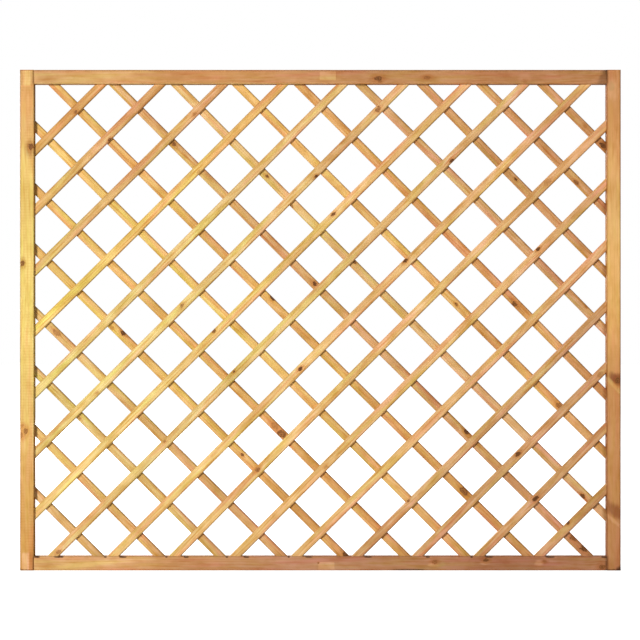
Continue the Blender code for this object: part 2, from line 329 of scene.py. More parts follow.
# A timber's axis, pith, edges, tones in even steps from its first end to its last, knots and patches
Timber = namedtuple("Timber", "axis pith edges tones knots patches figure planer_marks")
JOINT_DARK = {"half_length": 0.0215, "half_width": 0.0034, "tone": OLD_JOINT, "share": 0.55,
              "squareness": 1.0, "softness": 0.7}
# Painted shadows: short dark marks along the bottom rail's upper edge, where the groove lies in shade
# beside the laths, each with its middle and half its length
RAIL_GAP_SHADOWS = ((-0.849, 0.0080), (-0.784, 0.0140), (-0.644, 0.0040), (-0.592, 0.0110), (-0.461, 0.0035),
             (-0.402, 0.0070), (-0.280, 0.0035), (-0.222, 0.0080), (-0.095, 0.0030), (-0.036, 0.0100),
             (0.143, 0.0120), (0.322, 0.0060), (0.453, 0.0035), (0.505, 0.0120), (0.689, 0.0135),
             (0.850, 0.0080))
TIMBERS = {
    "left_stile": Timber(
        UPRIGHT,
        pith=(0.030, 0.055, 0.0046),
        edges=Edges(0.0062, 0.60, 0.0),
        tones=[(205, 151, 80), (209, 158, 88), (216, 165, 99), (231, 197, 115), (234, 203, 116),
               (230, 200, 113), (227, 196, 110), (224, 189, 107), (209, 162, 98), (198, 153, 92)],
        knots=[Knot(1.2700, 0.0115, 0.0074, 0.85, 1.4), Knot(0.921, -0.0125, 0.0054, 0.80, 1.6),
               Knot(0.4177, -0.004, 0.0066, 0.62, 1.6), Knot(0.4060, -0.013, 0.0038, 0.50, 2.5),
               Knot(0.4340, -0.012, 0.0032, 0.40, 1.6)],
        patches=[
            Patch(1.2640, 0.008, 0.026, 0.014, OLIVE, 0.6),
            Patch(0.9190, -0.012, 0.018, 0.010, OLIVE, 0.35),
            Patch(0.4150, -0.006, 0.026, 0.015, AMBER, 0.55),
            Patch(1.400, 0.0, 0.045, 0.022, AMBER, 0.55),
            Patch(1.478, -0.001, 0.026, 0.0105, STRAW, 0.6, 0.0, 1.0, 0.4, SKIN),
            Patch(1.451, 0.0, 0.0022, 0.019, AMBER, 0.6, 0.0, 1.0, 0.6, SKIN),
            Patch(0.026, -0.004, 0.027, 0.0105, PEACH, 0.75, 0.0, 1.0, 0.3, SKIN),
            Patch(0.026, 0.014, 0.027, 0.0060, SADDLE, 0.5, 0.0, 1.0, 0.5, SKIN),
            Patch(1.500, 0.0, 0.0030, 0.024, SADDLE, 0.8, 0.0, 1.0, 0.8),
            # Painted shadow along the bottom end, where the stile stands on the floor
            Patch(0.000, 0.0, 0.0036, 0.024, UMBER, 0.6, 0.0, 1.0, 0.8),
            Patch(1.479, 0.0195, **JOINT_DARK),
            Patch(0.021, 0.0195, **JOINT_DARK),
        ],
        figure=0.6,
        planer_marks=1.8,
    ),
    "right_stile": Timber(
        UPRIGHT,
        pith=(-0.010, 0.048, 0.0040),
        # Painted shade: the inner face and the outer edge, which face away from the key lamp, are darkened
        edges=Edges(0.0062, 0.40, 0.80, 0.98),
        tones=[(190, 131, 84), (197, 138, 85), (199, 139, 85), (204, 144, 88), (214, 155, 93),
               (232, 176, 104), (236, 183, 110), (238, 188, 117), (226, 170, 105), (203, 142, 82),
               (198, 138, 86)],
        knots=[Knot(0.569, 0.012, 0.0080, 0.80, 1.2), Knot(0.176, 0.012, 0.0065, 0.40, 1.6)],
        patches=[
            Patch(0.575, 0.010, 0.0150, 0.022, BROWN, 0.90, -0.3, 0.3, 0.9),
            Patch(0.551, 0.003, 0.0080, 0.024, STRAW, 0.50, -1.1, 0.3, 1.2),
            Patch(0.178, 0.006, 0.0190, 0.028, BROWN, 0.75, -0.7, 0.4, 1.1),
            Patch(0.152, -0.004, 0.0060, 0.022, PEACH, 0.40, -0.8, 0.3, 1.3),
            Patch(1.440, -0.004, 0.030, 0.016, PEACH, 0.35),
            Patch(1.452, -0.008, 0.014, 0.009, OLIVE, 0.35),
            Patch(0.016, 0.006, 0.020, 0.024, SADDLE, 0.55),
            # Painted shadow at the bottom end and its outer corner, where the stile stands on the floor
            Patch(0.001, 0.018, 0.012, 0.012, UMBER, 0.95),
            Patch(0.000, 0.0, 0.0042, 0.024, UMBER, 0.7, 0.0, 1.0, 0.8),
            Patch(1.500, 0.0, 0.0030, 0.024, SADDLE, 0.8, 0.0, 1.0, 0.8),
            Patch(1.479, -0.0195, **JOINT_DARK),
            Patch(0.021, -0.0195, **JOINT_DARK),
        ],
        figure=0.5,
        planer_marks=0.2,
    ),
    "top_rail": Timber(
        CROSSWISE,
        pith=(0.012, 0.050, 0.0036),
        edges=Edges(0.0064, 0.0, 0.80),
        tones=[(205, 159, 105), (203, 156, 98), (200, 147, 90), (196, 141, 86), (191, 138, 87),
               (185, 131, 84), (186, 133, 85), (188, 132, 84), (187, 132, 86), (187, 130, 86)],
        knots=[Knot(0.1730, -0.005, 0.0062, 0.84, 1.9), Knot(0.3200, -0.002, 0.0052, 0.62, 2.0),
               Knot(0.1790, -0.011, 0.0036, 0.60, 1.8), Knot(0.6130, -0.013, 0.0040, 0.40, 1.4)],
        patches=[
            Patch(0.0225, 0.0028, 0.0242, 0.0130, TAN, 0.55, 0.0, 1.0, 0.12, SKIN),
            Patch(0.0480, 0.0028, 0.0012, 0.0130, SADDLE, 0.6, 0.0, 1.0, 0.5, SKIN),
            # Painted light: paler strips along the lower arris, which lies in shade under the rail
            Patch(-0.440, -0.0208, 0.430, 0.0022, STRAW, 0.40, 0.0, 1.0, 0.8),
            Patch(0.430, -0.0208, 0.440, 0.0022, AMBER, 0.50, 0.0, 1.0, 0.8),
            Patch(0.178, -0.002, 0.026, 0.012, SADDLE, 0.45),
            Patch(0.328, -0.003, 0.022, 0.010, SADDLE, 0.40),
            Patch(0.853, 0.0, 0.016, 0.024, UMBER, 0.5, 0.5),
            Patch(0.613, -0.002, 0.020, 0.012, ROSE, 0.5),
            Patch(-0.480, 0.004, 0.080, 0.012, RUSSET, 0.25),
        ],
        figure=0.7,
        planer_marks=0.1,
    ),
    "bottom_rail": Timber(
        CROSSWISE,
        pith=(-0.034, 0.040, 0.0048),
        # Painted shadow along the lower edge, where the rail stands on the floor
        edges=Edges(0.0056, 0.50, 0.0),
        tones=[(216, 170, 112), (210, 161, 108), (200, 148, 96), (190, 139, 93), (184, 134, 96),
               (182, 132, 94), (179, 127, 88), (173, 120, 84), (175, 122, 87), (180, 126, 90)],
        knots=[Knot(0.3434, 0.005, 0.0058, 0.62, 1.5), Knot(0.4962, 0.010, 0.0048, 0.90, 1.6),
               Knot(0.8440, -0.010, 0.0080, 0.72, 1.2), Knot(-0.0056, 0.002, 0.0022, 0.8, 1.0),
               Knot(0.672, 0.006, 0.0036, 0.55, 1.6)],
        patches=[
            Patch(0.655, 0.001, 0.012, 0.009, PEACH, 0.35),
            Patch(0.340, -0.004, 0.016, 0.006, PEACH, 0.35),
            Patch(0.492, 0.002, 0.014, 0.006, PEACH, 0.30),
            Patch(0.360, 0.000, 0.014, 0.010, OLIVE, 0.35),
            Patch(0.500, 0.010, 0.014, 0.008, OLIVE, 0.40),
            Patch(0.018, -0.0065, 0.0240, 0.0115, PEACH, 0.35, 0.0, 1.0, 0.15, SKIN),
            Patch(-0.727, -0.004, 0.070, 0.0140, STRAW, 0.32, 9.0, 0.3, 1.4),
            Patch(-0.560, 0.008, 0.050, 0.0090, PEACH, 0.28, 9.0, 0.3, 1.4),
            Patch(0.265, -0.0185, 0.047, 0.0024, UMBER, 0.75, 0.0, 0.5),
            Patch(0.856, -0.008, 0.0040, 0.0150, UMBER, 0.5),
            Patch(0.450, 0.0200, 0.400, 0.0030, RUSSET, 0.45, 0.0, 1.0, 1.2),
            # Painted shadows of the groove beside the laths' feet
            *(Patch(along, 0.0207, half_length, 0.0032, UMBER, 0.95, 0.0, 0.6, 0.6, LIP)
              for along, half_length in RAIL_GAP_SHADOWS),
        ],
        figure=0.8,
        planer_marks=0.1,
    ),
}


class Output:
    """One output of a node. Sums with it become Math nodes in its own tree."""

    def __init__(self, wiring, socket):
        self.wiring, self.socket = wiring, socket

    def __add__(self, other):
        return self.wiring.maths("ADD", self, other)

    def __sub__(self, other):
        return self.wiring.maths("SUBTRACT", self, other)

    def __rsub__(self, other):
        return self.wiring.maths("SUBTRACT", other, self)

    def __mul__(self, other):
        return self.wiring.maths("MULTIPLY", self, other)

    def __truediv__(self, other):
        return self.wiring.maths("DIVIDE", self, other)

    def __rtruediv__(self, other):
        return self.wiring.maths("DIVIDE", other, self)

    def __neg__(self):
        return self * -1.0

    def __abs__(self):
        return self.wiring.maths("ABSOLUTE", self)

    __radd__, __rmul__ = __add__, __mul__


class Wiring:
    """Adds nodes to one tree, and feeds their sockets with values or with other nodes' outputs."""

    def __init__(self, tree):
        self.tree = tree

    def feed(self, socket, value):
        if isinstance(value, Output):
            self.tree.links.new(value.socket, socket)
        elif socket.type == "RGBA" and len(value) == 3:
            socket.default_value = (*value, 1.0)
        else:
            socket.default_value = value

    def node(self, kind, feeds=None, **settings):
        made = self.tree.nodes.new(kind)
        for name, value in settings.items():
            setattr(made, name, value)
        for socket, value in (feeds or {}).items():
            self.feed(made.inputs[socket], value)
        return made

    def out(self, kind, feeds=None, output=0, **settings):
        """One output of a new node."""
        return Output(self, self.node(kind, feeds, **settings).outputs[output])

    def outputs(self, kind, feeds=None, **settings):
        """All outputs of a new node, by name."""
        made = self.node(kind, feeds, **settings)
        return {socket.name: Output(self, socket) for socket in made.outputs}

    def group(self, tree, **feeds):
        """Places a group, and feeds each input that is named, with _ for a space."""
        named = {name.replace("_", " ").capitalize(): value for name, value in feeds.items()}
        return self.outputs("ShaderNodeGroup", named, node_tree=tree)

    def maths(self, operation, *values):
        return self.out("ShaderNodeMath", dict(enumerate(values)), operation=operation)

    def larger(self, first, second):
        return self.maths("MAXIMUM", first, second)

    def smaller(self, first, second):
        return self.maths("MINIMUM", first, second)

    def length(self, first, second):
        return self.maths("SQRT", first * first + second * second)

    def stretched(self, vector, lengthwise, crosswise):
        """A grain place, scaled by one share along the timber and by another across it and through it."""
        feeds = {0: vector, 1: (lengthwise, crosswise, crosswise)}
        return self.out("ShaderNodeVectorMath", feeds, operation="MULTIPLY")

    def split(self, vector):
        return list(self.outputs("ShaderNodeSeparateXYZ", {0: vector}).values())

    def join(self, x=0.0, y=0.0, z=0.0):
        return self.out("ShaderNodeCombineXYZ", {0: x, 1: y, 2: z})

    def rise(self, value, start, end, low=0.0, high=1.0):
        """Goes smoothly from low to high while the value goes from start to end."""
        feeds = {"Value": value, "From Min": start, "From Max": end, "To Min": low, "To Max": high}
        return self.out("ShaderNodeMapRange", feeds, interpolation_type="SMOOTHSTEP")

    def fall(self, value, start, end):
        """Goes smoothly from 1 to 0 while the value goes from start to end."""
        return self.rise(value, start, end, 1.0, 0.0)

    def blend(self, share, first, second):
        return self.out("ShaderNodeMix", {0: share, 2: first, 3: second}, data_type="FLOAT")

    def paint(self, share, under, over, blend_type="MIX"):
        feeds = {0: share, 6: under, 7: over}
        return self.out("ShaderNodeMix", feeds, 2, data_type="RGBA", blend_type=blend_type)

    def tint(self, share, under, shares):
        """A tone with its channels turned down or up by the tint's shares, as far as the share says."""
        return self.paint(share, under, shares, "MULTIPLY")

    def ramp(self, value, tones):
        """The tones in even steps while the value goes from 0 to 1."""
        node = self.node("ShaderNodeValToRGB", {0: value})
        stops = node.color_ramp.elements
        while len(stops) < len(tones):
            stops.new(0.5)
        for number, tone in enumerate(tones):
            stops[number].position = number / (len(tones) - 1)
            stops[number].color = (*tone, 1.0)
        return Output(self, node.outputs[0])

    def cloud(self, place, detail=2.0, roughness=0.5):
        """Smooth noise from 0 to 1, with one swell for each unit of place."""
        feeds = {"Vector": place, "Scale": 1.0, "Detail": detail, "Roughness": roughness}
        return self.out("ShaderNodeTexNoise", feeds)

    def attribute(self, name):
        return self.outputs("ShaderNodeAttribute", attribute_name=name)

    def object_place(self):
        return self.out("ShaderNodeTexCoord", output="Object")

    def bump(self, shader, height, strength, depth):
        feeds = {"Height": height, "Strength": strength, "Distance": depth}
        self.feed(shader.inputs["Normal"], self.out("ShaderNodeBump", feeds))


FLOAT = "NodeSocketFloat"
WHOLE = "NodeSocketInt"
VECTOR = "NodeSocketVector"
COLOUR = "NodeSocketColor"
MATERIAL = "NodeSocketMaterial"
OBJECT = "NodeSocketObject"
GEOMETRY = "NodeSocketGeometry"


def floats(*names):
    return [(name, FLOAT) for name in names]


def new_group(name, takes, gives, kind="ShaderNodeTree"):
    """An empty node group that takes and gives what is named, each with its type of socket."""
    tree = bpy.data.node_groups.new(name, kind)
    for in_out, sockets in (("INPUT", takes), ("OUTPUT", gives)):
        for socket_name, socket_type in sockets:
            tree.interface.new_socket(socket_name, in_out=in_out, socket_type=socket_type)
    wiring = Wiring(tree)
    return tree, wiring, wiring.outputs("NodeGroupInput"), wiring.node("NodeGroupOutput").inputs


def shader_group(name, takes, gives):
    """Makes a group of the function that follows, which gets the group's inputs and returns its outputs."""

    def made_of(wire):
        tree, w, given, wanted = new_group(name, takes, gives)
        for socket, value in zip(wanted, wire(w, *list(given.values())[:len(takes)])):
            w.feed(socket, value)
        return tree

    return made_of


@shader_group("growth_rings", [("Place", VECTOR), ("Pith", VECTOR)], floats("Late wood"))
def growth_rings(w, place, pith):
    """Year rings round a pith that runs along the timber, with a hard dark edge to each ring."""
    along, across, through = w.split(place)
    pith_across, pith_through, ring_width = w.split(pith)
    swing = (w.cloud(w.stretched(place, *RING_SWELLS)) - 0.5) * RING_SWING
    reach = w.length(across - pith_across, through - pith_through)
    season = w.maths("FRACT", (reach + swing) / ring_width)
    return [w.rise(season, 0.35, 0.90) - w.rise(season, 0.90, 1.0)]


@shader_group("wood_fibres", [("Place", VECTOR)], floats(*FIBRES))
def wood_fibres(w, place):
    """Streaks that run with the grain, from fine fibres to long soft patches."""
    return [
        w.cloud(w.stretched(place, lengthwise, crosswise), detail)
        for lengthwise, crosswise, detail in FIBRES.values()
    ]


@shader_group(
    "grain_round_knot",
    [("Place", VECTOR), ("Knot", VECTOR), *floats("Darkness", "Stretch")],
    [("Place", VECTOR), *floats("Heart", "Halo")],
)
def grain_round_knot(w, place, knot, darkness, stretch):
    """A knot that goes through the timber, its dark tails, and the way the grain flows round it."""
    along, across, through = w.split(place)
    knot_along, knot_across, radius = w.split(knot)
    ahead = (along - knot_along) / radius
    aside = (across - knot_across) / radius
    near = w.join(ahead, aside, knot_along * 9.0)
    warp = (w.cloud(w.stretched(near, *KNOT_WARP_SWELLS)) - 0.5) * KNOT_WARP
    skew = (w.cloud(w.stretched(near, *KNOT_SKEW_SWELLS)) - 0.5) * KNOT_SKEW
    ragged = (w.cloud(w.stretched(near, *KNOT_RIM_SWELLS), 3.0, 0.65) - 0.5) * KNOT_RIM
    warped_ahead = (ahead + warp) / stretch
    warped_aside = aside + skew
    shape = w.length(warped_ahead, warped_aside) + ragged
    tails = w.length(warped_ahead / KNOT_TAIL_LENGTH, warped_aside / KNOT_TAIL_WIDTH)
    outside = w.larger(w.length(ahead / stretch, aside), 1.0)
    squeeze = 1.0 - 1.0 / (outside * outside)
    bent_place = w.join(along, knot_across + aside * radius * squeeze, through)
    heart = w.larger(w.fall(shape, 0.70, 1.50), w.rise(tails, 0.3, 1.1, 0.45, 0.0))
    rings = w.rise(w.maths("SINE", shape * 10.0), -1.0, 1.0, 0.72, 1.0)
    return bent_place, heart * rings * darkness, w.fall(shape, 0.9, 2.8) * (0.30 + darkness * 0.70)


@shader_group(
    "stained_arris",
    [("Place", VECTOR),
     *floats("Half width", "Half thickness", "Reach", "Low side", "High side", "Low face", "High face")],
    floats("Stain"),
)
def stained_arris(w, place, half_width, half_thickness, reach, low_side, high_side, low_face, high_face):
    """How dark one of the timber's long edges is: oil and dirt, and painted shade that is heavier on the
    side away from the light.
    """
    along, across, through = w.split(place)
    from_side = half_width - abs(across)
    from_face = half_thickness - abs(through)
    ragged_reach = reach * (0.6 + w.cloud(w.stretched(place, *ARRIS_SWELLS)) * 0.8)
    side = w.rise(across, -SIDE_CHANGE, SIDE_CHANGE)
    edge = w.fall(w.larger(from_side, from_face) / ragged_reach, 0.1, 1.0)
    edge = edge * w.blend(side, low_side, high_side)
    face = w.fall(from_side, *FACE_SKIN) * w.blend(side, low_face, high_face)
    return [w.larger(edge, face)]


@shader_group(
    "soft_patch",
    [("Place", VECTOR),
     *floats("Along", "Across", "Half length", "Half width"),
     *floats("Slant", "Squareness", "Softness", "Depth", "Share")],
    floats("Patch"),
)
def soft_patch(w, place, middle, level, half_length, half_width, slant, squareness, softness, depth, share):
    """1 inside an oval or square-cornered patch of a timber, going to 0 across its edge."""
    along, across, through = w.split(place)
    aside = across - level
    ahead = along - middle - slant * aside
    u, v = abs(ahead / half_length), abs(aside / half_width)
    distance = w.blend(squareness, w.length(u, v), w.larger(u, v))
    distance = distance + (w.cloud(w.stretched(place, *PATCH_SWELLS)) - 0.5) * softness
    half = softness * 0.5
    reached = w.fall(through + TIMBER_HALF - depth, 0.0, PATCH_DEPTH_FADE)
    return [share * (w.fall(distance, 1.0 - half, 1.0 + half) * reached)]


@shader_group(
    "yellowed_with_age",
    [("Place", VECTOR), *floats("Spot x", "Spot z", "Height weight")],
    [("Cast", COLOUR)],
)
def yellowed_with_age(w, place, spot_x, spot_z, height_weight):
    """The cast that the laths take from their place in the panel."""
    x, y, z = w.split(place)
    reach = w.length(x - spot_x, (z - spot_z) * height_weight)
    feeds = {"Value": reach, "From Min": CAST_NEAR, "From Max": CAST_FAR}
    return [w.ramp(w.out("ShaderNodeMapRange", feeds), [NEAR_SPOT_CAST, MIDDLE_CAST, FAR_SPOT_CAST])]


@shader_group(
    "oiled_pine",
    [("Place", VECTOR), ("Pith", VECTOR), ("Tone", COLOUR),
     *floats("Stain", "Heart", "Halo", "Sawn end", "Figure", "Planer marks")],
    [("Colour", COLOUR), *floats("Roughness", "Height")],
)
def oiled_pine(w, place, pith, tone, stain, heart, halo, sawn_end, figure, planer_marks):
    """Pine under oil: a tone broken up by patches, streaks, rings, knots, edges darkened by stain and
    painted shade, and sawn ends.
    """
    late = w.group(growth_rings, place=place, pith=pith)["Late wood"]
    fibres = w.group(wood_fibres, place=place)
    planed = w.rise(w.maths("SINE", w.split(place)[0] * (2 * math.pi / PLANER_SPACING)), 0.0, 1.0)
    planed = planed * (planer_marks * w.rise(fibres["Patch"], 0.35, 0.65))
    for share, shares in (
        (figure * w.rise(fibres["Patch"], 0.52, 0.68), ROSE_TINT),
        (figure * w.rise(fibres["Patch"], 0.48, 0.34), OLIVE_TINT),
        (figure * w.rise(fibres["Streak"], 0.52, 0.72), STREAK_TINT),
        (figure * w.rise(fibres["Streak"], 0.47, 0.28), PALE_TINT),
        (late * figure * 0.60, LATE_WOOD_TINT),
        (w.rise(fibres["Fine"], 0.45, 0.75, 0.0, 0.6), FIBRE_TINT),
        (planed, PLANER_TINT),
        (figure, w.ramp(w.rise(fibres["Length"], 0.30, 0.70), LIGHTNESS_ALONG)),
        (figure, w.ramp(w.rise(fibres["Blotch"], 0.25, 0.75), LIGHTNESS_IN_BLOTCHES)),
        # The edges: darker with stain and with painted shade
        (stain, EDGE_STAIN_AND_SHADE_TINT),
        (halo * 0.75, KNOT_HALO_TINT),
    ):
        tone = w.tint(share, tone, shares)
    tone = w.paint(w.rise(heart, 0.0, 0.8), tone, w.ramp(heart, KNOT_TONES))
    tone = w.tint(sawn_end * 0.9, tone, SAWN_END_TINT)
    roughness = 0.56 + fibres["Fine"] * 0.20 - late * 0.06 + sawn_end * 0.10
    return tone, roughness, fibres["Fine"] * 0.6 + late * 0.4 - planed * 0.3


def new_material(name):
    """A material with only a Principled BSDF in it."""
    material = bpy.data.materials.new(name)
    material.use_nodes = True
    return material, Wiring(material.node_tree), material.node_tree.nodes["Principled BSDF"]


def finish_pine(w, shader, tone, knots, section, edges, **feeds):
    """Lets the grain flow round each knot, then feeds the pine's colour, roughness and bump to the shader.

    section is half the timber's width and half its thickness, and edges says how dark its edges are with
    stain and painted shade.
    """
    place = w.attribute(GRAIN_PLACE)["Vector"]
    sizes = {"half_width": section[0], "half_thickness": section[1], **edges._asdict()}
    stain = w.group(stained_arris, place=place, **sizes)["Stain"]
    # Painted shade at a lath's end beside the stile joins the edges' darkening
    stain = w.larger(stain, w.attribute(PAINTED_END_SHADE)["Fac"])
    heart, halo = 0.0, 0.0
    for knot, darkness, stretch in knots:
        found = w.group(grain_round_knot, place=place, knot=knot, darkness=darkness, stretch=stretch)
        place = found["Place"]
        heart = w.larger(found["Heart"], heart)
        halo = w.larger(found["Halo"], halo)
    pith = w.attribute(PITH)["Vector"]
    sawn_end = w.attribute(CUT_END)["Fac"]
    looks = {"tone": tone, "stain": stain, "heart": heart, "halo": halo, "sawn_end": sawn_end}
    pine = w.group(oiled_pine, place=place, pith=pith, **looks, **feeds)
    w.feed(shader.inputs["Base Color"], pine["Colour"])
    w.feed(shader.inputs["Roughness"], pine["Roughness"])
    w.bump(shader, pine["Height"], GRAIN_BUMP, GRAIN_BUMP_DEPTH)
    shader.inputs["Specular IOR Level"].default_value = GRAIN_SPECULAR


def lath_pine(name):
    """The laths of one layer share a material. Each lath brings its own stock, pith and knots."""
    material, w, shader = new_material(name + "_lath_pine")
    spot = {"spot_x": CAST_SPOT[0], "spot_z": CAST_SPOT[1], "height_weight": CAST_HEIGHT_WEIGHT}
    cast = w.group(yellowed_with_age, place=w.object_place(), **spot)["Cast"]
    tone = w.tint(1.0, w.attribute(STOCK_TONE)["Color"], cast)
    own = [w.attribute(knot_name) for knot_name in KNOT_NAMES]
    knots = [(knot["Vector"], knot["Alpha"], LATH_KNOT_STRETCH) for knot in own]
    finish_pine(w, shader, tone, knots, LATH_SECTION, LAYERS[name].edges, figure=1.0)
    return material


def timber_pine(node, timber):
    """A frame timber's own material, with the tones, knots and patches that it is given."""
    material, w, shader = new_material(node + "_pine")
    low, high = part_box(node)
    place = w.attribute(GRAIN_PLACE)["Vector"]
    share = (w.split(place)[0] - low[timber.axis]) / (high[timber.axis] - low[timber.axis])
    tone = w.ramp(share, [srgb(*channels) for channels in timber.tones])
    for patch in timber.patches:
        feeds = patch._asdict()
        patch_tone = feeds.pop("tone")
        tone = w.paint(w.group(soft_patch, place=place, **feeds)["Patch"], tone, patch_tone)
    knots = [
        ((knot.along, knot.across, knot.radius), knot.darkness, knot.stretch)
        for knot in timber.knots
    ]
    figures = {"figure": timber.figure, "planer_marks": timber.planer_marks}
    finish_pine(w, shader, tone, knots, (TIMBER_HALF, TIMBER_HALF), timber.edges, **figures)
    return material


def plated_metal(name, tone, dull_tone, spots):
    """Plated steel with dull spots and fine scratches."""
    material, w, shader = new_material(name)
    place = w.object_place()
    dull = w.rise(w.cloud(w.stretched(place, spots, spots), 3.0), 0.42, 0.66)
    scratches = w.cloud(w.stretched(place, spots * 9, spots * 2), 2.0)
    w.feed(shader.inputs["Base Color"], w.paint(dull, tone, dull_tone))
    w.feed(shader.inputs["Roughness"], 0.28 + (dull * 0.22 + scratches * 0.12))
    w.bump(shader, scratches, SCRATCH_BUMP, SCRATCH_DEPTH)
    shader.inputs["Metallic"].default_value = 1.0
    return material


def keep_values(mesh, name, channel, values, domain="POINT"):
    """Keeps a value for each point or face of a mesh under a name."""
    kind = {"vector": "FLOAT_VECTOR", "color": "FLOAT_COLOR", "value": "FLOAT"}[channel]
    mesh.attributes.new(name, kind, domain).data.foreach_set(channel, values)


def stamp(mesh, name, value):
    """Gives every point of a mesh the same value, of three or four channels, under a name."""
    keep_values(mesh, name, "vector" if len(value) == 3 else "color", list(value) * len(mesh.vertices))


def show(name, mesh):
    piece = bpy.data.objects.new(name, mesh)
    bpy.context.scene.collection.objects.link(piece)
    return piece


def nodes_named(start):
    return sorted(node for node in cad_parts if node.startswith(start))


def keep(w, geometry, name, value, data_type="FLOAT", domain="POINT"):
    """Geometry that keeps the value under a name."""
    feeds = {"Geometry": geometry, "Name": name, "Value": value}
    return w.out("GeometryNodeStoreNamedAttribute", feeds, data_type=data_type, domain=domain)


def dress(w, geometry, given, wanted):
    """Ends a tree: its instances become real, and take the material that is given."""
    real = w.out("GeometryNodeRealizeInstances", {"Geometry": geometry})
    dressed = w.out("GeometryNodeSetMaterial", {"Geometry": real, "Material": given["Material"]})
    w.feed(wanted["Geometry"], dressed)


def lath_section(w, given):
    """A lath's outline square to its length: a rectangle with round corners, and flat in between."""
    feeds = {"Width": given["Width"], "Height": given["Thickness"]}
    rectangle = w.out("GeometryNodeCurvePrimitiveQuadrilateral", feeds)
    divided = w.out("GeometryNodeSubdivideCurve", {"Curve": rectangle, "Cuts": 2})
    x, y, z = w.split(w.out("GeometryNodeInputPosition"))
    pushed = []
    for value, size in ((x, given["Width"]), (y, given["Thickness"])):
        half = size * 0.5
        flat = half - (given["Rounding"] + given["Flat margin"])
        corner = w.maths("GREATER_THAN", abs(value), half * 0.9)
        pushed.append(w.maths("SIGN", value) * w.blend(corner, flat, half))
    spaced = w.out("GeometryNodeSetPosition", {"Geometry": divided, "Position": w.join(*pushed)})
    feeds = {"Curve": spaced, "Count": given["Rounding steps"], "Radius": given["Rounding"]}
    return w.out("GeometryNodeFilletCurve", feeds, mode="POLY")


def lath_ends(asides, half_opening, lean, cosine, sine, larger, smaller):
    """How far a lath reaches each way before it meets the bottom of the frame's groove.

    The values are numbers or nodes' outputs. asides has its places aside at its left and right end.
    """
    ends = []
    for side, aside, nearest in zip((-1.0, 1.0), asides, (larger, smaller)):
        sideways = half_opening[0] * side + aside * (sine * lean)
        upwards = half_opening[1] * side - aside * cosine * lean
        ends.append(nearest(sideways / cosine, upwards / sine))
    return ends


def sprung_aside(share, bend):
    """How far a sprung lath stands aside at a share of its length, as a number or a node's output."""
    from_middle = share * 2.0 - 1.0
    bow = (bend.left + bend.right - bend.middle * 2.0) * (from_middle * from_middle * 0.5)
    return bend.middle + (bend.right - bend.left) * (from_middle * 0.5) + bow


